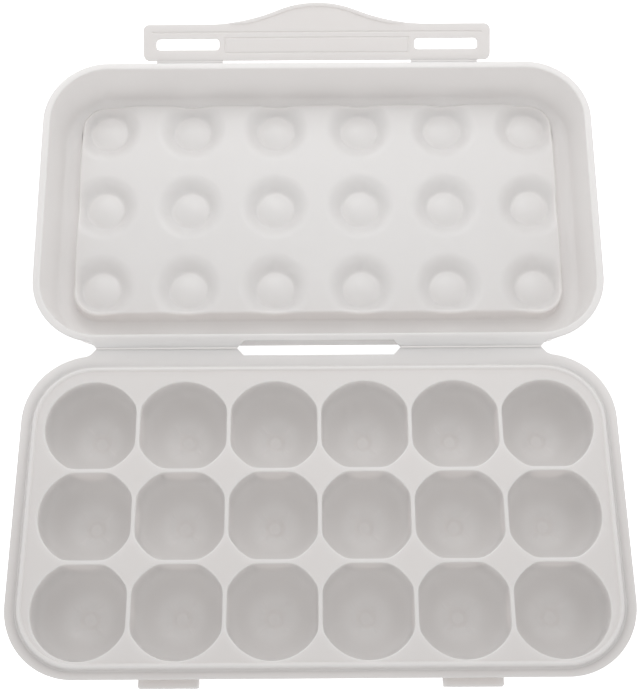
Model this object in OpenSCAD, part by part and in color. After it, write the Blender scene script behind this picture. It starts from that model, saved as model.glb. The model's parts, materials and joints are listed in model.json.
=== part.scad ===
// Egg storage container: a tray of egg cups, a hinged lid with a pocket over
// each egg, and a latch strip that folds down over two lugs on the tray.
// The three pieces are moulded together and meet at two film hinge lines.
// X is to the right, Y is away from the front, Z is up, and the table is Z = 0.

/* [Egg cups] */
// Number of egg cups from left to right
cup_columns = 6; // [2:1:8]
// Number of egg cups from front to back
cup_rows = 3; // [2:1:4]
// Distance between the centres of neighbouring cups
cup_pitch = 47; // [46:0.5:52]
// Radius of a cup at the deck
cup_r = 24.5; // [23.5:0.1:25.5]
// Thickness of the web that parts two neighbouring cups
web_t = 2.2; // [1.6:0.1:4]
// Depth of the drafted upper wall of a cup
cup_straight = 6; // [3:0.5:9]
// How much a cup narrows over that upper wall
cup_taper = 0.5; // [0.2:0.1:1]
// Radius of the round foot dimple at the bottom of a cup
foot_r = 4.8; // [3:0.1:7]
// Depth of the foot dimple
foot_depth = 1.5; // [0.8:0.1:2]

/* [Tray] */
// Height of the tray's rim flange above the table
rim_h = 34.6; // [32.5:0.1:38]
// Deck between the outer cups and the rim's edge, left and right
side_margin = 13.25; // [12:0.25:20]
// Deck between the front cups and the rim's edge
front_margin = 8.3; // [8:0.1:16]
// Deck between the back cups and the rim's edge
back_margin = 15.7; // [14:0.1:24]
// Corner radius of the rim in plan
rim_corner_r = 36; // [28:1:40]
// Thickness of the moulded walls
wall = 1.25; // [1:0.05:1.5]
// Thickness of the rim flanges
flange_t = 1.4; // [1:0.1:1.8]
// Overhang of the rim flange outside the tray's skirt
skirt_inset = 2.5; // [1.5:0.1:3]
// Draft of the tray's skirt and of the lid's walls, in degrees
draft = 6; // [4:0.5:8]
// Height of the deck above the rim flange
deck_step = 1.8; // [1.4:0.1:2.6]

/* [Locating bead] */
// Height of the bead above the rim flange
bead_h = 3; // [2.8:0.1:3.6]
// Width of the bead
bead_w = 2.6; // [2:0.1:3]
// Gap between the bead and the closed lid's front wall
bead_gap = 0.9; // [0.7:0.1:1.2]
// Extra inset of the bead at the left and right
bead_side_extra = 1.5; // [0:0.1:3]
// Extra inset of the bead at the back
bead_back_extra = 2.4; // [0:0.1:4]

/* [Lid] */
// Width of the lid's rim flange
lid_flange = 4; // [3.5:0.1:5]
// Outer radius of the round edge at the lid's bottom
lid_edge_r = 10; // [6:0.5:12]
// Depth of the raised panel below the lid's rim
panel_depth = 24; // [22:0.5:26]
// Draft of the raised panel's sides, in degrees
panel_draft = 4; // [2:0.5:8]
// Corner radius of the raised panel in plan
panel_corner_r = 14; // [10:0.5:15]
// Distance from the outer pocket centres to the raised panel's edge
panel_reach = 15.5; // [14:0.1:16]
// Shift of the panel away from the hinge, against the cups
panel_shift = 1; // [0:0.1:2]
// Angle at which the open lid rests, above level, in degrees
lid_tilt = 5.5; // [4:0.1:7]

/* [Lid pockets] */
// How much the pockets are further apart than the cups
pocket_spread = 2; // [0:0.1:2.5]
// Radius of a pocket at the panel
pocket_r = 19.5; // [18:0.1:20.5]
// Radius of the groove at a pocket's bottom
groove_r = 11.3; // [9:0.1:13]
// Depth of a pocket from the panel to its groove
pocket_depth = 8.5; // [6:0.1:9]
// Height of the dome in the middle of a pocket
dome_h = 3.5; // [2.5:0.1:4.5]

/* [Main hinge] */
// Distance from the hinge line to either rim
hinge_reach = 4; // [3.5:0.1:6]
// Distance from the middle to the inner end of a hinge strip, at the hinge line
hinge_inner = 43.6; // [20:0.1:60]
// Length of a hinge strip along the hinge line
hinge_length = 75; // [40:1:78]
// Chamfer at the ends of a hinge strip
hinge_chamfer = 3.6; // [1:0.1:6]
// Thickness of a hinge strip at the hinge line
hinge_t = 0.6; // [0.4:0.1:1]
// Gap between the two halves of a film hinge, and between the closed rims
fold_gap = 0.3; // [0.2:0.05:0.5]

/* [Latch] */
// Width of the latch strip
latch_w = 199; // [180:1:220]
// Distance from the latch hinge to the far edge of the straight bar
bar_reach = 21.2; // [19:0.1:24]
// Distance from the latch hinge to the tip of the grip
grip_reach = 33.2; // [26:0.1:34]
// Half of the width of the grip where it leaves the bar
grip_half_w = 63; // [50:1:70]
// Radius of the grip's crown
crown_r = 62; // [40:1:75]
// Thickness of the latch strip
latch_t = 1.8; // [1.4:0.1:2.2]
// Distance from the lid's rim to the near edge of the strip
latch_near = 1.2; // [1:0.1:2]
// Corner radius of the bar
bar_corner_r = 3.5; // [1:0.1:6]
// Angle at which the latch rests above the lid's rim plane, in degrees
latch_tilt = 20; // [0:1:45]
// Width of the raised border around the grip
border_w = 2.2; // [1.2:0.1:3]
// Height of the raised border, and depth of the lines on the strip
relief = 0.5; // [0.3:0.1:0.7]
// Distance from the latch hinge to the line along the strip
line_reach = 16.2; // [15:0.1:18]
// Width of the lines on the strip
line_w = 0.8; // [0.5:0.1:1.2]
// Distance from the line's ends to the strip's ends
line_margin = 5; // [3:0.5:8]
// Width of the framed panel in the middle of the strip
frame_w = 106; // [70:1:108]
// Distance from the latch hinge to the near edge of the framed panel
frame_near = 4.6; // [3.5:0.1:6]
// Distance from the latch hinge to the far edge of the framed panel
frame_far = 13.8; // [12:0.1:14.5]
// Distance from the strip's ends to the latch hinge tabs
tab_margin = 7.5; // [5:0.5:12]
// Length of a latch hinge tab
tab_length = 38; // [25:1:38]

/* [Latch slots and lugs] */
// Distance from the strip's ends to the slots
slot_margin = 7.5; // [5:0.5:12]
// Width of a lug
lug_w = 29.6; // [20:0.1:31]
// Height of a lug
lug_h = 4.2; // [3:0.1:4.4]
// Reach of a lug in front of the rim's edge
lug_reach = 3.4; // [3:0.1:3.8]
// Radius of a lug's outer corners in plan
lug_corner_r = 1.2; // [0.6:0.1:1.6]
// Distance of the lug and slot centres from the latch hinge
slot_reach = 9.8; // [9:0.1:10.5]
// Play between a lug and its slot, above and below
slot_play = 1; // [0.8:0.1:1.2]
// Play between a lug and its slot, at each end
slot_end_play = 3.2; // [1.5:0.1:4]
// Corner radius of a slot
slot_corner_r = 2; // [0.5:0.1:2.2]

/* [Hidden] */
$fn = 96;

milky = [0.86, 0.84, 0.82];

// The cups and the tray's outline
grid_w = (cup_columns - 1) * cup_pitch;
grid_l = (cup_rows - 1) * cup_pitch;
rim_w = grid_w + 2 * (cup_r + side_margin);
rim_l = grid_l + 2 * cup_r + front_margin + back_margin;
rim_front_y = -grid_l / 2 - cup_r - front_margin;
rim_mid_y = rim_front_y + rim_l / 2;
deck_z = rim_h + deck_step;
bowl_r = cup_r - cup_taper;
bowl_z = deck_z - cup_straight;
foot_z = bowl_z - sqrt(bowl_r * bowl_r - foot_r * foot_r) - foot_depth;

// The fold line, and the lid in its own frame, which lies on that line
fold_y = rim_front_y + rim_l + hinge_reach;
fold_z = rim_h + fold_gap / 2;
lid_rim_z = -fold_gap / 2;
lid_mid_y = hinge_reach + rim_l / 2;
lid_wall_inset = lid_flange - wall / cos(draft);

// The lid is as deep as its round edge needs to touch the table when open
table_gap = 0.05;
edge_inset = lid_wall_inset + lid_edge_r / cos(draft);
edge_drop = (fold_z + (hinge_reach + edge_inset) * sin(lid_tilt)
    + lid_rim_z * cos(lid_tilt) - lid_edge_r - table_gap)
    / (cos(lid_tilt) - tan(draft) * sin(lid_tilt));
lid_depth = edge_drop + lid_edge_r;
floor_z = lid_rim_z - lid_depth + wall;

// The raised panel and its pockets
pocket_pitch = cup_pitch + pocket_spread;
panel_mid_y = fold_y + panel_shift;
panel_w = (cup_columns - 1) * pocket_pitch + 2 * panel_reach;
panel_l = (cup_rows - 1) * pocket_pitch + 2 * panel_reach;
panel_z = lid_rim_z - panel_depth;
groove_z = panel_z - pocket_depth;
dome_r = (groove_r * groove_r + dome_h * dome_h) / (2 * dome_h);

// The latch hinge, in the lid's frame
latch_y = hinge_reach + rim_l + latch_near / 2;
latch_top_z = -fold_gap / 2;
slot_w = lug_w + 2 * slot_end_play;
lug_x = latch_w / 2 - slot_margin - slot_w / 2;
slot_h = lug_h + 2 * slot_play;
grip_h = grip_reach - bar_reach;
grip_arcs_r = (grip_half_w * grip_half_w + grip_h * grip_h) / (2 * grip_h);

// The lugs hang as far below the rim as the slots lie from the latch hinge
lug_z = fold_z - slot_reach;
lug_front_y = rim_front_y - lug_reach;

// The origin is under the middle of the whole open container
latch_angle = lid_tilt + latch_tilt;
tip_y = fold_y + latch_y * cos(lid_tilt) + grip_reach * cos(latch_angle)
    + (latch_t - latch_top_z) * sin(latch_angle);
origin_y = (lug_front_y + tip_y) / 2;

// A small overlap, so that solids that belong together share volume
bite = 0.4;

// A rounded rectangle about its centre
module rounded(w, l, r) {
    square([w - 2 * r, l], center = true);
    square([w, l - 2 * r], center = true);
    for (x = [-1, 1], y = [-1, 1])
        translate([x * (w / 2 - r), y * (l / 2 - r)])
            circle(r);
}

// A solid with a rounded rectangle for its plan. Its section is the children:
// X is measured from the corner's axis outwards, and Y is the height.
module swept(w, l, r, low_z, high_z) {
    translate([0, 0, low_z])
        linear_extrude(high_z - low_z)
            square([w - 2 * r, l - 2 * r], center = true);
    for (turn = [0, 180])
        rotate([0, 0, turn]) {
            translate([w / 2 - r, l / 2 - r, 0])
                rotate_extrude(angle = 90)
                    children();
            translate([r - w / 2, l / 2 - r, 0])
                rotate([0, 0, 90])
                    rotate_extrude(angle = 90)
                        children();
            translate([w / 2 - r, l / 2 - r, 0])
                rotate([90, 0, 0])
                    linear_extrude(l - 2 * r)
                        children();
            translate([r - w / 2, l / 2 - r, 0])
                rotate([0, 0, 90])
                    rotate([90, 0, 0])
                        linear_extrude(w - 2 * r)
                            children();
        }
}

// Children at every place of a grid like the cups' grid
module on_grid(pitch) {
    for (column = [0 : cup_columns - 1], row = [0 : cup_rows - 1])
        translate([(column - (cup_columns - 1) / 2) * pitch, (row - (cup_rows - 1) / 2) * pitch, 0])
            children();
}

// Half of the section of a bowl that is as wide as the cup plus grow
module bowl_section(grow, top_z) {
    top_r = bowl_r + grow + (top_z - bowl_z) * cup_taper / cup_straight;
    intersection() {
        translate([0, bowl_z])
            circle(bowl_r + grow);
        translate([0, foot_z - grow])
            square([cup_r + grow, bowl_z - foot_z + grow]);
    }
    polygon([
        [0, bowl_z],
        [bowl_r + grow, bowl_z],
        [top_r, top_z],
        [0, top_z]
    ]);
    translate([0, foot_z - grow])
        square([foot_r + grow, bowl_z - foot_z]);
}

// The hollow of one cup, cut flat where another cup is next to it
module cup_hollow(column, row) {
    high_z = deck_z + bite;
    half = cup_pitch / 2 - web_t / 2;
    free = cup_r + bite;
    left = column == 0 ? free : half;
    right = column == cup_columns - 1 ? free : half;
    front = row == 0 ? free : half;
    back = row == cup_rows - 1 ? free : half;
    x = column * cup_pitch - grid_w / 2;
    y = row * cup_pitch - grid_l / 2;
    translate([x, y, 0])
        intersection() {
            rotate_extrude()
                bowl_section(0, high_z);
            translate([-left, -front, 0])
                cube([left + right, front + back, high_z + bite]);
        }
}

// The tray's skirt, in plan grown or shrunk with the height by the draft
module skirt_section(inset, top_z) {
    top_r = rim_corner_r - inset;
    polygon([
        [0, 0],
        [top_r - rim_h * tan(draft), 0],
        [top_r + (top_z - rim_h) * tan(draft), top_z],
        [0, top_z]
    ]);
}

// The bead that locates the closed lid
module bead_ring() {
    front_inset = lid_flange + bead_gap;
    outer_w = rim_w - 2 * (front_inset + bead_side_extra);
    outer_l = rim_l - 2 * front_inset - bead_back_extra;
    outer_r = rim_corner_r - front_inset;
    translate([0, rim_mid_y - bead_back_extra / 2, rim_h - flange_t])
        linear_extrude(bead_h + flange_t)
            difference() {
                rounded(outer_w, outer_l, outer_r);
                rounded(outer_w - 2 * bead_w, outer_l - 2 * bead_w, outer_r - bead_w);
            }
}

// The raised deck inside the bead
module deck_plate() {
    front_inset = lid_flange + bead_gap + bead_w / 2;
    deck_w = rim_w - 2 * (front_inset + bead_side_extra);
    deck_l = rim_l - 2 * front_inset - bead_back_extra;
    translate([0, rim_mid_y - bead_back_extra / 2, rim_h - flange_t])
        linear_extrude(deck_step + flange_t)
            rounded(deck_w, deck_l, rim_corner_r - front_inset);
}

// One half of a main hinge strip, from its rim towards the hinge line, which
// is the X axis. It lies in the half plane Y < 0, with its top at Z = 0.
module hinge_strip() {
    near = fold_gap / 2;
    far = hinge_reach + bite + skirt_inset;
    intersection() {
        linear_extrude(2 * flange_t, center = true)
            polygon([
                [hinge_inner, -near],
                [hinge_inner + hinge_length, -near],
                [hinge_inner + hinge_length + hinge_chamfer, -hinge_reach],
                [hinge_inner + hinge_length + hinge_chamfer, -far],
                [hinge_inner - hinge_chamfer, -far],
                [hinge_inner - hinge_chamfer, -hinge_reach]
            ]);
        rotate([90, 0, 90])
            linear_extrude(rim_w)
                polygon([
                    [-near, 0],
                    [-near, -hinge_t],
                    [-hinge_reach, -flange_t],
                    [-far, -flange_t],
                    [-far, 0]
                ]);
    }
}

// The strips of one rim, left and right
module hinge_strips() {
    for (side = [0, 1])
        mirror([side, 0, 0])
            hinge_strip();
}

// A lug on the tray's front, with rounded outer corners
module lug() {
    back_y = rim_front_y + skirt_inset + wall / 2 + (rim_h - lug_z) * tan(draft);
    reach = back_y - lug_front_y;
    translate([-lug_w / 2, lug_front_y, lug_z - lug_h / 2])
        linear_extrude(lug_h) {
            translate([0, lug_corner_r])
                square([lug_w, reach - lug_corner_r]);
            translate([lug_corner_r, 0])
                square([lug_w - 2 * lug_corner_r, reach]);
            for (x = [lug_corner_r, lug_w - lug_corner_r])
                translate([x, lug_corner_r])
                    circle(lug_corner_r);
        }
}

module tray() {
    color(milky)
        difference() {
            union() {
                difference() {
                    translate([0, rim_mid_y, 0])
                        swept(rim_w, rim_l, rim_corner_r, 0, rim_h)
                            skirt_section(skirt_inset, rim_h);
                    translate([0, rim_mid_y, -bite])
                        swept(rim_w, rim_l, rim_corner_r, 0, rim_h - flange_t + bite)
                            skirt_section(skirt_inset + wall / cos(draft), rim_h - flange_t + bite);
                }
                translate([0, rim_mid_y, rim_h - flange_t])
                    linear_extrude(flange_t)
                        rounded(rim_w, rim_l, rim_corner_r);
                bead_ring();
                deck_plate();
                on_grid(cup_pitch)
                    rotate_extrude()
                        bowl_section(wall, rim_h);
                translate([0, fold_y, rim_h])
                    hinge_strips();
                for (side = [-1, 1])
                    translate([side * lug_x, 0, 0])
                        lug();
            }
            for (column = [0 : cup_columns - 1], row = [0 : cup_rows - 1])
                cup_hollow(column, row);
        }
}

// Section of the lid's outer or inner form: a drafted wall and a round edge
module lid_section(inset, edge_r, low_z) {
    wall_x = rim_corner_r - inset;
    mid_z = low_z + edge_r;
    mid_x = wall_x + (mid_z - lid_rim_z) * tan(draft) - edge_r / cos(draft);
    polygon([
        [0, lid_rim_z],
        [wall_x, lid_rim_z],
        [mid_x + edge_r * cos(draft), mid_z - edge_r * sin(draft)],
        [mid_x, mid_z],
        [mid_x, low_z],
        [0, low_z]
    ]);
    translate([mid_x, mid_z])
        circle(edge_r);
}

// The drafted block of the raised panel, grown by grow in plan
module panel_block(grow, low_z, high_z) {
    corner_r = panel_corner_r + grow;
    slope = tan(panel_draft);
    translate([0, panel_mid_y, 0])
        swept(panel_w + 2 * grow, panel_l + 2 * grow, corner_r, low_z, high_z)
            polygon([
                [0, low_z],
                [corner_r + (panel_z - low_z) * slope, low_z],
                [corner_r + (panel_z - high_z) * slope, high_z],
                [0, high_z]
            ]);
}

// A pocket as a cone that is grown by grow, over the sphere of its dome
module pocket(grow, low_z, dome_radius) {
    high_z = panel_z + grow;
    slope = (pocket_r - groove_r) / pocket_depth;
    translate([0, panel_mid_y, 0])
        on_grid(pocket_pitch)
            difference() {
                translate([0, 0, low_z])
                    cylinder(
                        h = high_z - low_z,
                        r1 = groove_r + grow + (low_z - groove_z) * slope,
                        r2 = pocket_r + grow + (high_z - panel_z) * slope
                    );
                translate([0, 0, groove_z + dome_h - dome_r])
                    sphere(dome_radius);
            }
}

// The tabs that a latch hinge leaves on one side of its line, at Y < 0
module latch_tabs(reach, t) {
    near = fold_gap / 2;
    for (side = [0, 1])
        mirror([side, 0, 0])
            translate([latch_w / 2 - tab_margin - tab_length, -reach, -t])
                cube([tab_length, reach - near, t]);
}

module lid_body() {
    difference() {
        union() {
            difference() {
                union() {
                    swept_lid(lid_wall_inset, lid_edge_r, lid_rim_z - lid_depth);
                    translate([0, lid_mid_y, lid_rim_z - flange_t])
                        linear_extrude(flange_t)
                            rounded(rim_w, rim_l, rim_corner_r);
                }
                swept_lid(lid_flange, lid_edge_r - wall, floor_z);
            }
            panel_block(0, floor_z - wall / 2, panel_z);
        }
        pocket(0, groove_z, dome_r);
        difference() {
            panel_block(-wall, floor_z - 2 * wall, panel_z - wall);
            pocket(wall, groove_z - wall, dome_r - wall);
        }
    }
    translate([0, 0, lid_rim_z])
        mirror([0, 1, 0])
            hinge_strips();
    translate([0, latch_y, lid_rim_z])
        latch_tabs(latch_near / 2 + lid_flange / 2, hinge_t);
}

// The lid's outer or inner form in its own frame
module swept_lid(inset, edge_r, low_z) {
    translate([0, lid_mid_y, 0])
        swept(rim_w, rim_l, rim_corner_r, low_z, lid_rim_z)
            lid_section(inset, edge_r, low_z);
}

module lid() {
    color(milky)
        translate([0, fold_y, fold_z])
            rotate([lid_tilt, 0, 0])
                lid_body();
}

// Outline of the grip beyond the bar, drawn in by inset: a crown between two
// hollow curves that run out into the bar's edge
module grip_outline(inset) {
    hollow_r = grip_arcs_r - crown_r;
    crown_y = grip_reach - crown_r;
    join_x = (crown_r - inset) * grip_half_w / grip_arcs_r;
    join_y = crown_y + (crown_r - inset) * (1 - grip_h / grip_arcs_r);
    low_y = bar_reach - inset - bite;
    intersection() {
        translate([0, crown_y])
            circle(crown_r - inset);
        translate([-join_x, low_y])
            square([2 * join_x, grip_reach - low_y]);
    }
    for (side = [-1, 1])
        difference() {
            translate([side > 0 ? join_x - bite : -grip_half_w, low_y])
                square([grip_half_w - join_x + bite, join_y - low_y]);
            translate([side * grip_half_w, bar_reach + hollow_r])
                circle(hollow_r + inset);
        }
}

// Outline of the whole strip, with the latch hinge on the X axis
module strip_outline() {
    near = latch_near / 2;
    translate([0, (near + bar_reach) / 2])
        rounded(latch_w, bar_reach - near, bar_corner_r);
    grip_outline(0);
}

// Two lines in the strip: one along it, and one around the framed panel
module strip_lines() {
    translate([line_margin - latch_w / 2, line_reach])
        square([latch_w - 2 * line_margin, line_w]);
    difference() {
        translate([-frame_w / 2, frame_near])
            square([frame_w, frame_far - frame_near]);
        translate([line_w - frame_w / 2, frame_near + line_w])
            square([frame_w - 2 * line_w, frame_far - frame_near - 2 * line_w]);
    }
}

// The raised border along the grip's edge, up to where the grip is line_w high
module grip_border() {
    end_x = grip_half_w - sqrt(2 * (grip_arcs_r - crown_r) * line_w);
    intersection() {
        difference() {
            grip_outline(0);
            grip_outline(border_w);
        }
        translate([-end_x, bar_reach])
            square([2 * end_x, grip_h]);
    }
}

module latch_body() {
    difference() {
        translate([0, 0, latch_top_z - latch_t])
            linear_extrude(latch_t)
                difference() {
                    strip_outline();
                    for (side = [-1, 1])
                        translate([side * lug_x, slot_reach])
                            rounded(slot_w, slot_h, slot_corner_r);
                }
        translate([0, 0, latch_top_z - relief])
            linear_extrude(2 * relief)
                strip_lines();
    }
    translate([0, 0, latch_top_z - bite])
        linear_extrude(relief + bite)
            grip_border();
    translate([0, 0, latch_top_z])
        mirror([0, 1, 0])
            latch_tabs(latch_near / 2 + bite, hinge_t);
}

module latch() {
    color(milky)
        translate([0, fold_y, fold_z])
            rotate([lid_tilt, 0, 0])
                translate([0, latch_y, 0])
                    rotate([latch_tilt, 0, 0])
                        latch_body();
}

translate([0, -origin_y, 0]) tray();
translate([0, -origin_y, 0]) lid();
translate([0, -origin_y, 0]) latch();
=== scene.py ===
"""An open egg storage container of milky plastic, seen from above on a pale floor.

Sizes are in millimetres, in the frame of the part that each shell belongs to, and turn
into metres when a mesh is made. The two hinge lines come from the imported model. The
shells are closed: cells with the cups or pockets, then rings round to the underside.
"""

import json
from math import asin, atan2, cos, degrees, exp, hypot, pi, radians, sin, sqrt, tan

import bmesh
import bpy
from mathutils import Matrix, Vector


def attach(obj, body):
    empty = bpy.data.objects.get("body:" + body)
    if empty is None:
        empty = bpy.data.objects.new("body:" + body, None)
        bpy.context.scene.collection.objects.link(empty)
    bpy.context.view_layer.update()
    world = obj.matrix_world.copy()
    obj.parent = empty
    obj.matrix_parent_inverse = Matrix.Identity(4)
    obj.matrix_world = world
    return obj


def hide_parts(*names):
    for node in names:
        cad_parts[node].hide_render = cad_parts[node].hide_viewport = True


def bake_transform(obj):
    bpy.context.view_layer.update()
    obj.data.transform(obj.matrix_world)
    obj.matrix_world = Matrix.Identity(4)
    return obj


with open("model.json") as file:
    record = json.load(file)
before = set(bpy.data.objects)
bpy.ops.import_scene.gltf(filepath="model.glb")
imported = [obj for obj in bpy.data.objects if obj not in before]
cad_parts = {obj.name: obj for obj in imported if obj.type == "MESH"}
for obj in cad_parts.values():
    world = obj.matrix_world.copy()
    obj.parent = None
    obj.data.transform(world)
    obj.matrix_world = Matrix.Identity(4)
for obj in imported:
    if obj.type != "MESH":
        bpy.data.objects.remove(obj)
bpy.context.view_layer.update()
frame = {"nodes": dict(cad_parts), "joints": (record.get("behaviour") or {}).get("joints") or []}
joints = {joint["name"]: joint for joint in frame["joints"]}
MM = 0.001

# The egg cups
COLUMNS = 6
ROWS = 3
CUP_PITCH = 47
CUP_R = 24.5
WEB_T = 2.2
CUP_STRAIGHT = 6
CUP_TAPER = 0.5
CUP_LIP = 0.6
FOOT_R = 4.8
FOOT_DEPTH = 1.5
FOOT_FLAT = 3.4
FOOT_LIFT = 0.2
FOOT_SLOPE = 1.1
FOOT_END = 12.6
RIDGE_R = 8.6
RIDGE_REACH = 3
RIDGE_W = 0.9
RIDGE_H = 0.5
CUP_RAYS = 11
CUP_WEB_BLEND = 1.2
WEB_BLEND = 1
# How far the border cells reach to the side, the front and the back, above and below the deck
CUP_OUTER = (27, 25.2, 27)
UNDER_OUTER = (27.2, 26.6, 27.2)

# The tray
RIM_H = 34.6
RIM_W = 310.5
RIM_L = 167
RIM_R = 36
FRONT_MARGIN = 8.3
WALL = 1.25
FLANGE_T = 1.4
SKIRT_INSET = 2.5
DRAFT = radians(6)
DECK_STEP = 1.8
BEAD_W = 2.6
BEAD_INSET = 4.9
BEAD_SIDE = 1.5
BEAD_BACK = 2.4
# From the deck over the bead to the flange, as insets from the bead's face and heights
# above the rim
BEAD_PROFILE = (
    (2.6, 1.8), (2.45, 1.92), (2.2, 2.18), (1.8, 2.5), (1.3, 2.65), (0.8, 2.55), (0.4, 2.25),
    (0.15, 1.8), (0, 1.3), (-0.12, 0.8), (-0.4, 0.35), (-0.8, 0.1), (-1.3, 0),
)
DECK_GAP = 0.08
FLANGE_EDGE_R = 0.45
FLANGE_INNER = 2.4
FLANGE_OUTER = 0.8
# Places of the tray's profile that lie on its flange, which gets the rim's painted shade
FLANGE_RINGS = 12
SKIRT_LEVELS = (27, 20, 13, 6, 0.5)

# The lid, whose rim plane is Z = 0 less half of the fold gap
FOLD_GAP = 0.3
HINGE_REACH = 4
LID_TILT = radians(5.5)
LID_FLANGE = 4
LID_EDGE_R = 10
LID_INNER_R = 8
LID_DEPTH = 36.54
LID_LEVELS = (-8, -14, -20)
EDGE_STEPS = 10
PANEL_DEPTH = 24
PANEL_DRAFT = radians(4)
PANEL_CORNER_R = 14
PANEL_REACH = 15.5
PANEL_SHIFT = 1
POCKET_PITCH = 49
POCKET_R = 16.9
GROOVE_R = 10.7
POCKET_DEPTH = 6.2
DOME_H = 2.7
DOME_BLEND = 1.6
LIP_BLEND = 3.8
POCKET_KNEE = 3
POCKET_BROW = 4.6
PANEL_LIP = 1.2
PANEL_FOOT = 1.4

# The two film hinges
HINGE_INNER = 43.6
HINGE_LENGTH = 75
HINGE_CHAMFER = 3.6
FILM_T = 0.6
FILM_EXTRA = 0.12
FILM_REACH = 0.5
FILM_LAP = 0.02
TAB_INNER = 54
TAB_LENGTH = 38
TAB_T = 0.5
TAB_DROP = 0.5

# The latch
LATCH_TILT = radians(20)
LATCH_NEAR = 1.2
LATCH_T = 1.8
LATCH_EDGE_R = 0.2
SHARP = radians(35)
ROLL_DROP = 0.55
ROLL_REACH = 3.2
ROLL_STEPS = 8

# The lugs
LUG_X = 74
LUG_W = 29.6
LUG_H = 4.2
LUG_REACH = 3.4
LUG_CORNER_R = 1.2
LUG_EDGE_R = 0.45
SLOT_REACH = 9.8

# The plastic's two tints, and painted shade and light along an axis, from and to a place in
# metres. The cups' bowls, the rim's front and sides and the latch get painted shade, and the
# cups' upper walls painted light; the plastic's own colour is the same all over.
TINTS = ((0.84, 0.81, 0.795, 1), (0.88, 0.85, 0.835, 1))
# Painted shade in the cups: darker low in the bowl, lighter at the foot and high on the wall
CUP_PAINTED_SHADE = (
    "Z", 0.005, 0.035,
    ((0, 1.03), (0.09, 1.03), (0.2, 0.92), (0.38, 0.93), (0.62, 1.04), (0.85, 1.1), (1, 1)),
)
# Painted shade on the rim's flange, darker towards the front
RIM_PAINTED_SHADE = ("Y", -0.188, -0.02, ((0, 0.84), (0.62, 0.84), (1, 1)))
# Painted shade on the latch, evenly darker all over
LATCH_PAINTED_SHADE = ("Y", 0.15, 0.19, ((0, 0.91), (1, 0.91)))

# The light
WORLD_LIGHT = 0.65
FLOOR_LIFT = 0.88
FLOOR_GLOW = 0.2
LAMPS = (
    ("key", (0.14, 0.3, 0.5), (0, 0.1, 0), 0.45, 0.4),
    ("fill", (-0.12, 0.45, 0.5), (0, 0.1, 0), 0.45, 0.6),
)
FLOOR_HALF = 3

# The camera, as fitted to the photograph's cups and rims, in metres
CAMERA_PLACE = (-0.0011, -0.2504, 0.6206)
CAMERA_PITCH = radians(22.1)
CAMERA_YAW = radians(-0.42)
CAMERA_ROLL = radians(0.04)
CAMERA_LENS = 61.74
SENSOR_W = 36

# Places that follow from those
DECK_Z = RIM_H + DECK_STEP
BOWL_R = CUP_R - CUP_TAPER
BOWL_Z = DECK_Z - CUP_STRAIGHT
FOOT_Z = BOWL_Z - sqrt(BOWL_R**2 - FOOT_R**2) - FOOT_DEPTH
RIM_FRONT = -(ROWS - 1) / 2 * CUP_PITCH - CUP_R - FRONT_MARGIN
RIM_MID = RIM_FRONT + RIM_L / 2
FOLD_Y = RIM_FRONT + RIM_L + HINGE_REACH
LID_MID = HINGE_REACH + RIM_L / 2
PANEL_MID = FOLD_Y + PANEL_SHIFT - LID_MID
RIM_Z = -FOLD_GAP / 2
PANEL_Z = RIM_Z - PANEL_DEPTH
GROOVE_Z = PANEL_Z - POCKET_DEPTH
LID_LOW = RIM_Z - LID_DEPTH
FLOOR_Z = LID_LOW + WALL
DOME_R = (GROOVE_R**2 + DOME_H**2) / (2 * DOME_H)
DOME_Z = GROOVE_Z + DOME_H - DOME_R

SIDES = ((-1, "left"), (1, "right"))

fold = Vector(joints["lid_hinge"]["pos_m"])
latch_axis = Vector(joints["latch_hinge"]["pos_m"])
TRAY_PLACE = Matrix.Translation((0, fold.y - FOLD_Y * MM, 0)) @ Matrix.Scale(MM, 4)
LID_PLACE = Matrix.Translation(fold) @ Matrix.Rotation(LID_TILT, 4, "X") @ Matrix.Scale(MM, 4)


def smooth_min(a, b, blend):
    """The smaller of two numbers, rounded where they are within blend of each other."""
    mix = max(blend - abs(a - b), 0) / blend
    return min(a, b) - mix * mix * blend / 4


def smooth_max(a, b, blend):
    """The larger of two numbers, rounded in the same way."""
    return -smooth_min(-a, -b, blend)


def finished(mesh, material):
    """The object of a mesh, named like it, smooth and of the plastic."""
    mesh.shade_smooth()
    mesh.materials.append(material)
    obj = bpy.data.objects.new(mesh.name, mesh)
    bpy.context.scene.collection.objects.link(obj)
    obj.modifiers.new("normals", "WEIGHTED_NORMAL")
    return obj


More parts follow.
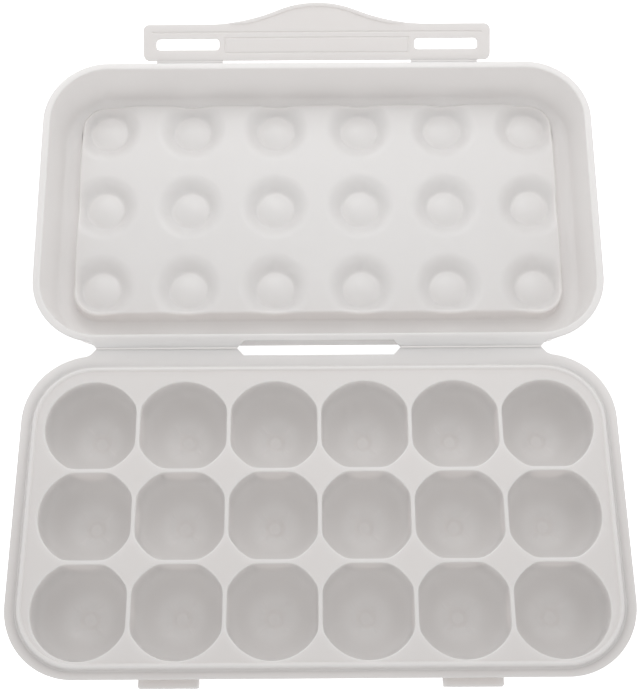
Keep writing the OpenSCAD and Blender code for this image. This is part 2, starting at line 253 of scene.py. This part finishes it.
class Shell:
    """The vertices and faces of one mesh. Vertices at the same place are shared."""

    def __init__(self):
        self.places = []
        self.index = {}
        self.faces = []

    def add(self, point):
        key = tuple(round(c, 3) for c in point)
        if key not in self.index:
            self.index[key] = len(self.places)
            self.places.append(tuple(point))
        return self.index[key]

    def face(self, *corners):
        kept = [c for n, c in enumerate(corners) if c != corners[n - 1]]
        if len(set(kept)) > 2:
            self.faces.append(kept)

    def loop(self, points):
        return [self.add(p) for p in points]

    def strip(self, a, b):
        """Faces between two closed loops of equal length."""
        for n in range(len(a)):
            self.face(a[n - 1], a[n], b[n], b[n - 1])

    def cap(self, loop):
        self.faces.append(list(loop))

    def edge_loop(self):
        """The open edge of the faces so far, anticlockwise seen from above."""
        edges = set()
        for f in self.faces:
            for n in range(len(f)):
                edges.add((f[n - 1], f[n]))
        after = {a: b for a, b in edges if (b, a) not in edges}
        start = min(after, key=lambda n: turn_of(self.places[n]))
        loop = [start]
        while after[loop[-1]] != start:
            loop.append(after[loop[-1]])
        return loop

    def zipper(self, a, b):
        """Triangles between two loops that both go round the origin anticlockwise."""
        a, b = self.from_first(a), self.from_first(b)
        turns = [
            [turn_of(self.places[i]) for i in loop] + [2 * pi + turn_of(self.places[loop[0]])]
            for loop in (a, b)
        ]
        i = j = 0
        while i < len(a) or j < len(b):
            forward = j == len(b) or (i < len(a) and turns[0][i + 1] <= turns[1][j + 1])
            here_a, here_b = a[i % len(a)], b[j % len(b)]
            if forward:
                self.face(here_a, a[(i + 1) % len(a)], here_b)
                i += 1
            else:
                self.face(here_a, b[(j + 1) % len(b)], here_b)
                j += 1

    def from_first(self, loop):
        """The loop, started at its vertex with the smallest turn."""
        k = min(range(len(loop)), key=lambda n: turn_of(self.places[loop[n]]))
        return loop[k:] + loop[:k]

    def join(self, other):
        """Takes over another shell's faces. Returns where its vertices now are."""
        moved = [self.add(p) for p in other.places]
        for f in other.faces:
            self.face(*[moved[n] for n in f])
        return moved

    def piece(self, name, place, body, *replaced):
        """The Blender object, with its faces turned outwards."""
        mesh = bpy.data.meshes.new(name)
        mesh.from_pydata([place @ Vector(p) for p in self.places], [], self.faces)
        bm = bmesh.new()
        bm.from_mesh(mesh)
        bmesh.ops.recalc_face_normals(bm, faces=bm.faces)
        bm.to_mesh(mesh)
        bm.free()
        obj = finished(mesh, plastic)
        obj.modifiers["normals"].keep_sharp = True
        if body:
            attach(obj, body)
        if replaced:
            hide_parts(*replaced)
        return obj


def turn_of(point):
    """Angle of a point about the middle of the shell, 0 to 2 pi."""
    return atan2(point[1], point[0]) % (2 * pi)


def side_stations():
    """Shares of a long side, with places at the corners of the hinge strips and tabs."""
    end = RIM_W / 2 - RIM_R
    tab_end = TAB_INNER + TAB_LENGTH
    step_out = 0.1
    half = [end]
    for x, steps in (
        (HINGE_INNER + HINGE_LENGTH, 1),
        (tab_end + step_out, 6), (tab_end, 1), (TAB_INNER, 8), (TAB_INNER - step_out, 1),
        (HINGE_INNER, 3), (HINGE_INNER - HINGE_CHAMFER, 2), (0, 6),
    ):
        start = half[-1]
        half += [start + (x - start) * n / steps for n in range(1, steps + 1)]
    half = half[1:-1]
    right = [(end - x) / (2 * end) for x in half]
    left = [(end + x) / (2 * end) for x in reversed(half)]
    return right + [0.5] + left


LONG_SIDE = side_stations()
SHORT_STEPS = 44
SHORT_SIDE = [n / SHORT_STEPS for n in range(1, SHORT_STEPS)]
CORNER_STEPS = 26


def outline(w, l, r, inset, z, mid=0):
    """A rounded rectangle drawn in by inset, anticlockwise from the right."""
    w, l, r = w / 2 - inset, l / 2 - inset, r - inset
    points = []
    for corner, (sx, sy) in enumerate(((1, 1), (-1, 1), (-1, -1), (1, -1))):
        for n in range(CORNER_STEPS + 1):
            a = (corner + n / CORNER_STEPS) * pi / 2
            points.append((sx * (w - r) + r * cos(a), mid + sy * (l - r) + r * sin(a), z))
        side = (2 * (w - r)) if corner % 2 == 0 else (2 * (l - r))
        x, y, _ = points[-1]
        dx, dy = ((-1, 0), (0, -1), (1, 0), (0, 1))[corner]
        for share in (LONG_SIDE, SHORT_SIDE)[corner % 2]:
            points.append((x + dx * side * share, y + dy * side * share, z))
    return points


def hinge_share(x):
    """1 along a main hinge strip, 0 beside it, and between those at its chamfers."""
    inner = HINGE_INNER - HINGE_CHAMFER
    outer = HINGE_INNER + HINGE_LENGTH + HINGE_CHAMFER
    nearest = min(abs(x) - inner, outer - abs(x)) / HINGE_CHAMFER
    return max(min(nearest, 1), 0)


def tab_share(x):
    """1 along a latch tab and 0 beside it."""
    slack = 0.01
    return 1 if TAB_INNER - slack < abs(x) < TAB_INNER + TAB_LENGTH + slack else 0


def drawn_out(ring, inset, mid, side, share, reach, top, low_top, thickness):
    """The ring of a rim's edge, drawn out to a hinge line where share says so.

    Only the rings of the rim's round edge are drawn out. top is the rim's height, and
    low_top and thickness are the strip's own at the hinge line.
    """
    points = []
    for x, y, z in ring:
        part = share(x) if side * (y - mid) > 0 and inset <= FLANGE_EDGE_R else 0
        level = low_top - (top - z) * thickness / FLANGE_T
        points.append((x, y + side * part * (reach + inset - FILM_LAP), z + part * (level - z)))
    return points


def edge_places(left, right, front, back, n):
    """Places around a cell's edge, in n equal turns up to each corner."""
    t = [tan(pi / 4 * k / n) for k in range(n + 1)]
    up, down = range(n), range(n, 0, -1)
    return (
        [(right, back * t[k]) for k in up] + [(right * t[k], back) for k in down]
        + [(-left * t[k], back) for k in up] + [(-left, back * t[k]) for k in down]
        + [(-left, -front * t[k]) for k in up] + [(-left * t[k], -front) for k in down]
        + [(right * t[k], -front) for k in up] + [(right, -front * t[k]) for k in down]
    )


def within(place, middle, outline_size, mid):
    """How far a cell's edge place reaches before it meets a rounded rectangle."""
    w, l, r = outline_size
    reach = hypot(*place)
    ux, uy = place[0] / reach, place[1] / reach

    def depth(t):
        x = abs(middle[0] + ux * t) - (w / 2 - r)
        y = abs(middle[1] + uy * t - mid) - (l / 2 - r)
        return hypot(max(x, 0), max(y, 0)) + min(max(x, y), 0) - r

    if depth(reach) <= 0:
        return reach
    low, high = 0, reach
    for _ in range(30):
        half = (low + high) / 2
        low, high = (half, high) if depth(half) < 0 else (low, half)
    return low


def cells(pitch, outer, outline_size, mid, shift, section, turns=8):
    """A shell of polar cells, one for each cup or pocket.

    outer gives a border cell's reach to the side, the front and the back. section
    gives a ray's (radius, height) places from its turn, its reach and the cuts that
    the cell's neighbours make.
    """
    side, front_reach, back_reach = outer
    shell = Shell()
    for column in range(COLUMNS):
        for row in range(ROWS):
            x = (column - (COLUMNS - 1) / 2) * pitch
            y = (row - (ROWS - 1) / 2) * pitch + shift
            left = side if column == 0 else pitch / 2
            right = side if column == COLUMNS - 1 else pitch / 2
            front = front_reach if row == 0 else pitch / 2
            back = back_reach if row == ROWS - 1 else pitch / 2
            cut = (column > 0, column < COLUMNS - 1, row > 0, row < ROWS - 1)
            rays = []
            for place in edge_places(left, right, front, back, turns):
                reach = within(place, (x, y), outline_size, mid)
                turn = atan2(place[1], place[0])
                rays.append([
                    (x + r * cos(turn), y + r * sin(turn), z) for r, z in section(turn, reach, cut)
                ])
            loops = [shell.loop([ray[n] for ray in rays]) for n in range(len(rays[0]))]
            centre = loops[0][0]
            for n in range(len(rays)):
                shell.face(centre, loops[1][n - 1], loops[1][n])
            for a, b in zip(loops[1:], loops[2:]):
                shell.strip(b, a)
    return shell


def neighbour_cut(turn, cut, half):
    """Distance along a ray to the nearest web."""
    left, right, front, back = cut
    reach = 10 * half
    for has_web, towards in (
        (right, cos(turn)), (left, -cos(turn)), (back, sin(turn)), (front, -sin(turn)),
    ):
        if has_web and towards > 0.2:
            reach = smooth_min(reach, half / towards, WEB_BLEND)
    return reach


def foot_height(r, turn):
    """Height of a cup's bottom: the bowl, with a round dimple and four low ridges."""
    bowl = BOWL_Z - sqrt(BOWL_R**2 - r**2)
    dimple = FOOT_Z + FOOT_LIFT + max(r - FOOT_FLAT, 0) * FOOT_SLOPE
    off = (turn - pi / 4) % (pi / 2)
    across = r * sin(min(off, pi / 2 - off))
    along = max(1 - ((r - RIDGE_R) / RIDGE_REACH) ** 2, 0)
    return smooth_min(bowl, dimple, 1) + RIDGE_H * along * exp(-((across / RIDGE_W) ** 2))


def cup_section(turn, reach, cut):
    """A cup's hollow along one ray: foot, bowl, upper wall, lip and deck."""
    web = neighbour_cut(turn, cut, CUP_PITCH / 2 - WEB_T / 2)
    foot_steps, bowl_steps, wall_steps, lip_steps = 16, 18, 3, 4
    foot_radii = [FOOT_END * n / foot_steps for n in range(foot_steps + 1)]
    places = [(r, foot_height(r, turn)) for r in foot_radii]
    low = asin((FOOT_END + 1) / BOWL_R)
    for n in range(bowl_steps + 1):
        a = low + (pi / 2 - low) * n / bowl_steps
        places.append((BOWL_R * sin(a), BOWL_Z - BOWL_R * cos(a)))
    for n in range(1, wall_steps + 1):
        t = n / wall_steps
        places.append((BOWL_R + CUP_TAPER * t, BOWL_Z + (CUP_STRAIGHT - CUP_LIP) * t))
    cut_places = [(smooth_min(r, web, CUP_WEB_BLEND), z) for r, z in places]
    top = cut_places[-1][0]
    for n in range(1, lip_steps + 1):
        a = pi / 2 * n / lip_steps
        cut_places.append((top + CUP_LIP * (1 - cos(a)), DECK_Z - CUP_LIP + CUP_LIP * sin(a)))
    cut_places = [(min(r, reach), z) for r, z in cut_places]
    cut_places.append((reach, DECK_Z))
    return cut_places


def cup_underside(turn, reach, cut):
    """The underside of a cup along one ray, up to the underside of the deck."""
    outer_r = BOWL_R + WALL
    ceiling = RIM_H - FLANGE_T
    low_z = FOOT_Z - WALL
    foot = FOOT_R + WALL
    start = asin(foot / outer_r)
    steps = 12
    places = [(0, low_z), (foot * 0.6, low_z), (foot - 0.4, low_z), (foot, low_z + 0.4)]
    for n in range(steps + 1):
        a = start + (pi / 2 - start) * n / steps
        places.append((outer_r * sin(a), BOWL_Z - outer_r * cos(a)))
    places.append((outer_r + 0.2, ceiling - 0.6))
    places.append((outer_r + 0.8, ceiling))
    kept = []
    for r, z in places:
        if r > reach:
            r, z = reach, BOWL_Z - sqrt(outer_r**2 - reach**2) if reach < outer_r else ceiling
        kept.append((r, z))
    kept.append((reach, ceiling if reach > outer_r + 0.8 else kept[-1][1]))
    return kept


def pocket_height(r, grow):
    """Height of the pocket's inner face, or with grow of its outer face, at a radius."""
    dome_r = DOME_R - grow
    dome = DOME_Z + sqrt(max(dome_r**2 - r**2, 0)) if r < dome_r else DOME_Z
    slope = POCKET_DEPTH / (POCKET_R - GROOVE_R)
    cone = GROOVE_Z + (r - GROOVE_R - grow) * slope
    return smooth_min(smooth_max(dome, cone, DOME_BLEND), PANEL_Z - grow, LIP_BLEND)


def pocket_section(grow):
    """A pocket along any ray, with more places at its groove and at its lip."""
    def section(turn, reach, cut):
        span = reach - GROOVE_R
        knee = min(POCKET_R - POCKET_KNEE, GROOVE_R + span * 0.5)
        brow = min(POCKET_R + POCKET_BROW, GROOVE_R + span * 0.9)
        radii = [0]
        for end, steps in (
            (GROOVE_R * 0.82, 7), (GROOVE_R * 1.12, 6), (knee, 4), (brow, 9), (reach, 2),
        ):
            start = radii[-1]
            radii += [start + (end - start) * n / steps for n in range(1, steps + 1)]
        return [(r, pocket_height(r, grow)) for r in radii]
    return section


def panel_wall(shell, grow, low_z):
    """The drafted side of the raised panel, from its top edge down to low_z."""
    top = shell.edge_loop()
    count = len(top)
    places = [shell.places[n] for n in top]
    normals = []
    for n in range(count):
        a, b = places[n - 1], places[(n + 1) % count]
        run = hypot(b[0] - a[0], b[1] - a[1])
        normals.append(((b[1] - a[1]) / run, (a[0] - b[0]) / run))
    level = PANEL_Z - grow
    slope = tan(PANEL_DRAFT)
    foot_z = low_z + PANEL_FOOT
    lip_steps, wall_steps, foot_steps = 4, 3, 4
    rings = []
    for n in range(1, lip_steps + 1):
        a = pi / 2 * n / lip_steps
        rings.append([
            ((PANEL_LIP + (level - z) * slope) * sin(a), z - PANEL_LIP * (1 - cos(a)))
            for _, _, z in places
        ])
    for n in range(1, wall_steps + 1):
        heights = [
            z - PANEL_LIP + (foot_z - z + PANEL_LIP) * n / wall_steps for _, _, z in places
        ]
        rings.append([(PANEL_LIP + (level - z) * slope, z) for z in heights])
    last = [offset for offset, _ in rings[-1]]
    for n in range(1, foot_steps + 1):
        a = pi / 2 * n / foot_steps
        rings.append([
            (offset + PANEL_FOOT * (1 - cos(a)), low_z + PANEL_FOOT * (1 - sin(a)))
            for offset in last
        ])
    previous = top
    for ring in rings:
        loop = shell.loop([
            (x + nx * offset, y + ny * offset, z)
            for (x, y, _), (nx, ny), (offset, z) in zip(places, normals, ring)
        ])
        shell.strip(previous, loop)
        previous = loop
    return previous


def fillet(inset, z, r, start, end, steps=4):
    """Arc places about (inset, z), by angles where 0 is outwards and 90 degrees is up."""
    turns = [radians(start + (end - start) * n / steps) for n in range(steps + 1)]
    return [(inset - r * cos(a), z + r * sin(a)) for a in turns]


def flange_edge(top):
    """The round outer edge of a flange, from its top face at a height down to its underside."""
    r = FLANGE_EDGE_R
    return fillet(r, top - r, r, 90, 0) + fillet(r, top - FLANGE_T + r, r, 0, -90)


def sweep(shell, start, rings, end=None):
    """Joins the loop start to a row of outlines, and those to the loop end.

    Returns the outlines' loops of vertices.
    """
    loops = [shell.loop(points) for points in rings]
    shell.zipper(start, loops[0])
    for a, b in zip(loops, loops[1:]):
        shell.strip(a, b)
    if end:
        shell.zipper(loops[-1], end)
    return loops


def skirt_inset(z):
    """Inset of the skirt's outer face from the rim's edge at a height."""
    return SKIRT_INSET + (RIM_H - z) * tan(DRAFT)


def tray_profile():
    """The rim and the skirt as (inset, height), from the bead's foot to the deck's underside.

    The small bare numbers round its corners.
    """
    under = RIM_H - FLANGE_T
    skirt_w = WALL / cos(DRAFT)
    corner = skirt_inset(under)
    base, r = skirt_inset(0), FLANGE_EDGE_R
    low, low_r = 0.15, 0.12
    profile = [(FLANGE_INNER, RIM_H), (FLANGE_OUTER, RIM_H)] + flange_edge(RIM_H)
    profile += [(corner - 0.5, under), (corner - 0.1, under - 0.12)]
    profile += [(skirt_inset(under - 0.5), under - 0.5)]
    profile += [(skirt_inset(z), z) for z in SKIRT_LEVELS]
    profile += [(skirt_inset(low) + low_r, low_r), (base + r, 0)]
    profile += [(base + skirt_w - r, 0), (skirt_inset(low) + skirt_w - low_r, low_r)]
    profile += [(skirt_inset(z) + skirt_w, z) for z in (*reversed(SKIRT_LEVELS), under - 0.8)]
    profile += [(corner + skirt_w + 0.15, under - 0.15), (corner + skirt_w + 0.7, under)]
    return profile


def build_tray():
    """Deck with cups, bead, rim, skirt and undersides, as one closed shell."""
    bead = (
        RIM_W - 2 * (BEAD_INSET + BEAD_SIDE), RIM_L - 2 * BEAD_INSET - BEAD_BACK,
        RIM_R - BEAD_INSET,
    )
    bead_mid = RIM_MID - BEAD_BACK / 2
    deck_w, deck_l = (size - 2 * (BEAD_W + DECK_GAP) for size in bead[:2])
    deck = (deck_w, deck_l, bead[2] - BEAD_W)
    top = cells(CUP_PITCH, CUP_OUTER, deck, bead_mid, 0, cup_section, CUP_RAYS)
    start = top.edge_loop()
    cup_faces = len(top.faces)
    rings = [outline(*bead, inset, RIM_H + z, bead_mid) for inset, z in BEAD_PROFILE]
    profile = tray_profile()
    for inset, z in profile:
        ring = outline(RIM_W, RIM_L, RIM_R, inset, z, RIM_MID)
        rings.append(drawn_out(
            ring, inset, RIM_MID, 1, hinge_share, HINGE_REACH, RIM_H, RIM_H, FILM_T))
    last = profile[-1][0]
    gap = 0.1
    inner = (RIM_W - 2 * (last + gap), RIM_L - 2 * (last + gap), RIM_R - last)
    below = cells(CUP_PITCH, UNDER_OUTER, inner, RIM_MID, 0, cup_underside)
    moved = top.join(below)
    loops = sweep(top, start, rings, [moved[n] for n in below.edge_loop()])
    bead_end = len(BEAD_PROFILE)
    flange = set().union(*loops[bead_end - 1:bead_end + FLANGE_RINGS])
    obj = top.piece("tray_shell", TRAY_PLACE, "tray", "tray")
    obj.data.materials.append(cup_painted_shade_plastic)
    obj.data.materials.append(rim_painted_shade_plastic)
    for n, polygon in enumerate(obj.data.polygons):
        # Cup faces take the cups' plastic with painted shade
        if n < cup_faces:
            polygon.material_index = 1
        # Flange faces take the rim's plastic with painted shade towards the front
        elif flange.issuperset(polygon.vertices):
            polygon.material_index = 2


def lid_profile():
    """The lid's wall and rim as (inset, height), from the gutter round to the outer face.

    The small bare numbers round its corners.
    """
    def edge(flange, r, low_z):
        """The middle of the wall's round edge."""
        mid_z = low_z + r
        return flange + (RIM_Z - mid_z) * tan(DRAFT) + r / cos(DRAFT), mid_z

    def wall(flange, levels):
        return [(flange + (RIM_Z - z) * tan(DRAFT), z) for z in levels]

    draft = degrees(DRAFT)
    under = RIM_Z - FLANGE_T
    outer = LID_FLANGE - WALL / cos(DRAFT)
    profile = fillet(*edge(LID_FLANGE, LID_INNER_R, FLOOR_Z), LID_INNER_R, -90, -draft, EDGE_STEPS)
    profile += wall(LID_FLANGE, (*reversed(LID_LEVELS), RIM_Z - 0.8))
    profile += [(LID_FLANGE - 0.18, RIM_Z - 0.2), (LID_FLANGE - 0.7, RIM_Z)]
    profile += [(2, RIM_Z), (FLANGE_OUTER, RIM_Z)] + flange_edge(RIM_Z)
    profile += [(outer - 0.5, under), (outer, under - 0.15), (outer + 0.15, under - 0.6)]
    profile += wall(outer, (*LID_LEVELS, -25))
    profile += fillet(*edge(outer, LID_EDGE_R, LID_LOW), LID_EDGE_R, -draft, -90, EDGE_STEPS)
    return profile


def build_lid():
    """Panel with pockets, gutter, wall and rim, inside and outside, as one closed shell."""
    def panel(grow):
        reach = PANEL_REACH - grow - PANEL_LIP
        size = (
            (COLUMNS - 1) * POCKET_PITCH + 2 * reach, (ROWS - 1) * POCKET_PITCH + 2 * reach,
            PANEL_CORNER_R - grow - PANEL_LIP,
        )
        section = pocket_section(grow)
        return cells(POCKET_PITCH, (reach,) * 3, size, PANEL_MID, PANEL_MID, section)

    inside = panel(0)
    start = panel_wall(inside, 0, FLOOR_Z)
    outside = panel(WALL)
    end = panel_wall(outside, WALL, LID_LOW)
    rings = []
    for inset, z in lid_profile():
        ring = outline(RIM_W, RIM_L, RIM_R, inset, z)
        ring = drawn_out(ring, inset, 0, -1, hinge_share, HINGE_REACH, RIM_Z, RIM_Z, FILM_T)
        rings.append(drawn_out(
            ring, inset, 0, 1, tab_share, LATCH_NEAR / 2, RIM_Z, RIM_Z - TAB_DROP, TAB_T))
    moved = inside.join(outside)
    sweep(inside, start, rings, [moved[n] for n in end])
    place = LID_PLACE @ Matrix.Translation((0, LID_MID, 0))
    inside.piece("lid_shell", place, "lid", "lid")


def film(name, middle, length, top, thickness, place, bend):
    """A thin sleeve over a hinge line, which is the X axis. It turns up there by bend."""
    half = (0, 0.12, 0.24, 0.4, 0.6, 0.8, 1)
    xs = [middle + length * (n / 6 - 0.5) for n in range(7)]
    shell = Shell()
    loops = []
    for share in [-t for t in reversed(half[1:])] + list(half):
        y = share * FILM_REACH
        swell = FILM_EXTRA * (1 - share**2)
        turn = bend if y > 0 else 0
        section = [(x, y, top + swell) for x in xs]
        section += [(x, y, top - thickness - swell) for x in reversed(xs)]
        loops.append(shell.loop([
            (x, v * cos(turn) - w * sin(turn), v * sin(turn) + w * cos(turn))
            for x, v, w in section
        ]))
    for a, b in zip(loops, loops[1:]):
        shell.strip(a, b)
    shell.cap(loops[0])
    shell.cap(loops[-1])
    obj = shell.piece(name, place, None)
    obj.data.materials[0] = film_plastic
    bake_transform(obj)


def build_films():
    """The thin films on the fold lines, each a sleeve over the two halves of its strip."""
    hinge_place = Matrix.Translation(fold) @ Matrix.Scale(MM, 4)
    latch_place = (
        Matrix.Translation(latch_axis) @ Matrix.Rotation(LID_TILT, 4, "X") @ Matrix.Scale(MM, 4)
    )
    for side, word in SIDES:
        film(
            "hinge_film_" + word, side * (HINGE_INNER + HINGE_LENGTH / 2), HINGE_LENGTH,
            RIM_Z, FILM_T, hinge_place, LID_TILT,
        )
        film(
            "latch_film_" + word, side * (TAB_INNER + TAB_LENGTH / 2), TAB_LENGTH,
            RIM_Z - TAB_DROP, TAB_T, latch_place, LATCH_TILT,
        )


def soften(bm, edges, r, segments):
    """Rounds edges of a mesh."""
    bmesh.ops.bevel(bm, geom=edges, offset=r, segments=segments, affect="EDGES", profile=0.5)


def build_latch():
    """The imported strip, with soft edges and a near edge that rolls down."""
    packed = frame["nodes"]["latch"]
    place = (
        Matrix.Translation(latch_axis) @ Matrix.Rotation(LID_TILT + LATCH_TILT, 4, "X")
        @ Matrix.Scale(MM, 4)
    )
    near = LATCH_NEAR / 2
    bm = bmesh.new()
    bm.from_mesh(packed.data)
    bmesh.ops.transform(bm, matrix=place.inverted() @ packed.matrix_world, verts=bm.verts)
    bmesh.ops.remove_doubles(bm, verts=bm.verts, dist=0.002)
    bmesh.ops.dissolve_limit(bm, angle_limit=radians(1), verts=bm.verts, edges=bm.edges)
    sharp = [e for e in bm.edges if e.calc_face_angle(0) > SHARP]
    soften(bm, sharp, LATCH_EDGE_R, 2)
    for n in range(1, ROLL_STEPS):
        bmesh.ops.bisect_plane(
            bm, geom=bm.verts[:] + bm.edges[:] + bm.faces[:],
            plane_co=(0, near + ROLL_REACH * n / ROLL_STEPS, 0), plane_no=(0, 1, 0),
        )
    for v in bm.verts:
        left = min(max(1 - (v.co.y - near) / ROLL_REACH, 0), 1)
        v.co.z -= ROLL_DROP * left**2 * (v.co.z - RIM_Z + LATCH_T) / LATCH_T
    mesh = bpy.data.meshes.new("latch_strip")
    bm.to_mesh(mesh)
    bm.free()
    mesh.transform(place)
    # The latch's plastic is painted darker all over, as painted shade
    obj = finished(mesh, latch_painted_shade_plastic)
    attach(obj, "latch")
    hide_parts("latch")


def build_lugs():
    """The two lugs on the skirt's front, round at their front corners."""
    front = RIM_FRONT - LUG_REACH
    back = RIM_FRONT + SKIRT_INSET + WALL / 2 + SLOT_REACH * tan(DRAFT)
    z = RIM_H + FOLD_GAP / 2 - SLOT_REACH
    for side, word in SIDES:
        bm = bmesh.new()
        bmesh.ops.create_cube(bm, size=1)
        bmesh.ops.scale(bm, vec=(LUG_W, back - front, LUG_H), verts=bm.verts)
        bmesh.ops.translate(bm, vec=(side * LUG_X, (front + back) / 2, z), verts=bm.verts)
        rises = {e: abs(e.verts[0].co.z - e.verts[1].co.z) for e in bm.edges}
        corners = [e for e in bm.edges if rises[e] > 1 and e.verts[0].co.y < front + 1]
        soften(bm, corners, LUG_CORNER_R, 5)
        rims = [
            e for e in bm.edges
            if abs(e.verts[0].co.z - e.verts[1].co.z) < 0.01 and e.calc_face_angle(0) > 1
        ]
        soften(bm, rims, LUG_EDGE_R, 3)
        mesh = bpy.data.meshes.new("lug_" + word)
        bm.to_mesh(mesh)
        bm.free()
        mesh.transform(TRAY_PLACE)
        obj = finished(mesh, plastic)
        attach(obj, "tray")
        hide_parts("tray")


def node(tree, kind, inputs, **settings):
    """A new node. Each input is a plain value or the socket that feeds it."""
    made = tree.nodes.new("ShaderNode" + kind)
    for name, value in settings.items():
        setattr(made, name, value)
    for name, value in inputs.items():
        if isinstance(value, bpy.types.NodeSocket):
            tree.links.new(value, made.inputs[name])
        else:
            made.inputs[name].default_value = value
    return made


def paint_shade(tree, place, base, axis, low, high, painted_shades):
    """The base colour times painted shade along an axis; shades above 1 are painted light."""
    split = node(tree, "SeparateXYZ", {"Vector": place})
    share = node(tree, "MapRange", {
        "Value": split.outputs[axis], "From Min": low, "From Max": high,
    })
    ramp = node(tree, "ValToRGB", {"Fac": share.outputs["Result"]})
    ramp.color_ramp.interpolation = "B_SPLINE"
    while len(ramp.color_ramp.elements) < len(painted_shades):
        ramp.color_ramp.elements.new(0.5)
    for element, (at, shade) in zip(ramp.color_ramp.elements, painted_shades):
        element.position = at
        element.color = (shade, shade, shade, 1)
    product = node(tree, "Mix", {
        "Factor": 1, "A": base, "B": ramp.outputs["Color"],
    }, data_type="RGBA", blend_type="MULTIPLY")
    return product.outputs["Result"]


def moulded_plastic(name, glow, painted_shades=None):
    """Milky polypropylene: satin, a little light gets through, with faint flow marks.

    Its colour can also get painted shade and light along an axis.
    """
    material = bpy.data.materials.new(name)
    material.use_nodes = True
    tree = material.node_tree
    shader = tree.nodes["Principled BSDF"]
    for socket, value in (
        ("Roughness", 0.36), ("IOR", 1.49), ("Subsurface Weight", glow),
        ("Subsurface Radius", (1, 1, 1)), ("Subsurface Scale", 0.004),
    ):
        shader.inputs[socket].default_value = value
    place = node(tree, "TexCoord", {}).outputs["Object"]
    cloud = node(tree, "TexNoise", {"Vector": place, "Scale": 14, "Detail": 3})
    tint = node(tree, "Mix", {
        "Factor": cloud.outputs["Fac"], "A": TINTS[0], "B": TINTS[1],
    }, data_type="RGBA")
    colour = tint.outputs["Result"]
    # Painted shade and light along an axis, multiplied into the colour
    if painted_shades:
        colour = paint_shade(tree, place, colour, *painted_shades)
    grain = node(tree, "TexNoise", {"Vector": place, "Scale": 900, "Detail": 2})
    bump = node(tree, "Bump", {
        "Strength": 0.05, "Distance": 0.0002, "Height": grain.outputs["Fac"],
    })
    tree.links.new(colour, shader.inputs["Base Color"])
    tree.links.new(bump.outputs["Normal"], shader.inputs["Normal"])
    return material


def camera_rays(tree):
    """A factor that is 1 for what the camera sees, also in gloss and through plastic."""
    path = node(tree, "LightPath", {})
    seen = path.outputs["Is Camera Ray"]
    for name in ("Is Glossy Ray", "Is Transmission Ray"):
        either = node(tree, "Math", {0: seen, 1: path.outputs[name]}, operation="MAXIMUM")
        seen = either.outputs[0]
    return seen


def white_world():
    """A world that is white to the camera and dimmer as a light."""
    world = bpy.data.worlds.new("studio")
    bpy.context.scene.world = world
    world.use_nodes = True
    tree = world.node_tree
    dim = tree.nodes["Background"]
    dim.inputs["Color"].default_value = (1, 1, 1, 1)
    dim.inputs["Strength"].default_value = WORLD_LIGHT
    white = node(tree, "Background", {})
    mix = node(tree, "MixShader", {
        0: camera_rays(tree), 1: dim.outputs[0], 2: white.outputs[0],
    })
    tree.links.new(mix.outputs[0], tree.nodes["World Output"].inputs["Surface"])


def pale_floor():
    """A pale floor that keeps the shadow and is lifted to white around it."""
    far = FLOOR_HALF
    mesh = bpy.data.meshes.new("floor")
    corners = [(-far, -far, 0), (far, -far, 0), (far, far, 0), (-far, far, 0)]
    mesh.from_pydata(corners, [], [(0, 1, 2, 3)])
    floor = bpy.data.objects.new("floor", mesh)
    bpy.context.scene.collection.objects.link(floor)
    material = bpy.data.materials.new("floor")
    material.use_nodes = True
    tree = material.node_tree
    shader = tree.nodes["Principled BSDF"]
    shader.inputs["Base Color"].default_value = (0.82, 0.82, 0.82, 1)
    shader.inputs["Roughness"].default_value = 0.9
    shader.inputs["Emission Color"].default_value = (1, 1, 1, 1)
    lift = node(tree, "Math", {0: camera_rays(tree), 1: FLOOR_LIFT}, operation="MULTIPLY")
    glow = node(tree, "Math", {0: lift.outputs[0], 1: FLOOR_GLOW}, operation="MAXIMUM")
    tree.links.new(glow.outputs[0], shader.inputs["Emission Strength"])
    mesh.materials.append(material)


def soft_lamps():
    """Round lamps above and behind the lid."""
    for name, place, target, size, power in LAMPS:
        light = bpy.data.lights.new(name, "AREA")
        light.shape = "DISK"
        light.size = size
        light.energy = power
        lamp = bpy.data.objects.new(name, light)
        lamp.location = place
        aim = Vector(target) - Vector(place)
        lamp.rotation_euler = aim.to_track_quat("-Z", "Y").to_euler()
        bpy.context.scene.collection.objects.link(lamp)


plastic = moulded_plastic("milky_plastic", 1)
film_plastic = moulded_plastic("milky_film", 0)
# The cups' plastic, with painted shade and light by height
cup_painted_shade_plastic = moulded_plastic("milky_cups_painted_shade", 1, CUP_PAINTED_SHADE)
# The rim's plastic, with painted shade towards the front
rim_painted_shade_plastic = moulded_plastic("milky_rim_painted_shade", 1, RIM_PAINTED_SHADE)
# The latch's plastic, painted darker as painted shade
latch_painted_shade_plastic = moulded_plastic("milky_latch_painted_shade", 1, LATCH_PAINTED_SHADE)
build_tray()
build_lugs()
build_lid()
build_latch()
build_films()
white_world()
pale_floor()
soft_lamps()

camera = bpy.data.cameras.new("camera")
camera.lens = CAMERA_LENS
camera.sensor_width = SENSOR_W
camera.clip_start = 0.01
eye = bpy.data.objects.new("camera", camera)
eye.matrix_world = (
    Matrix.Translation(CAMERA_PLACE)
    @ Matrix.Rotation(CAMERA_YAW, 4, "Z")
    @ Matrix.Rotation(CAMERA_PITCH, 4, "X")
    @ Matrix.Rotation(CAMERA_ROLL, 4, "Z")
)
bpy.context.scene.collection.objects.link(eye)
bpy.context.scene.camera = eye
bpy.context.scene.view_settings.view_transform = "Standard"
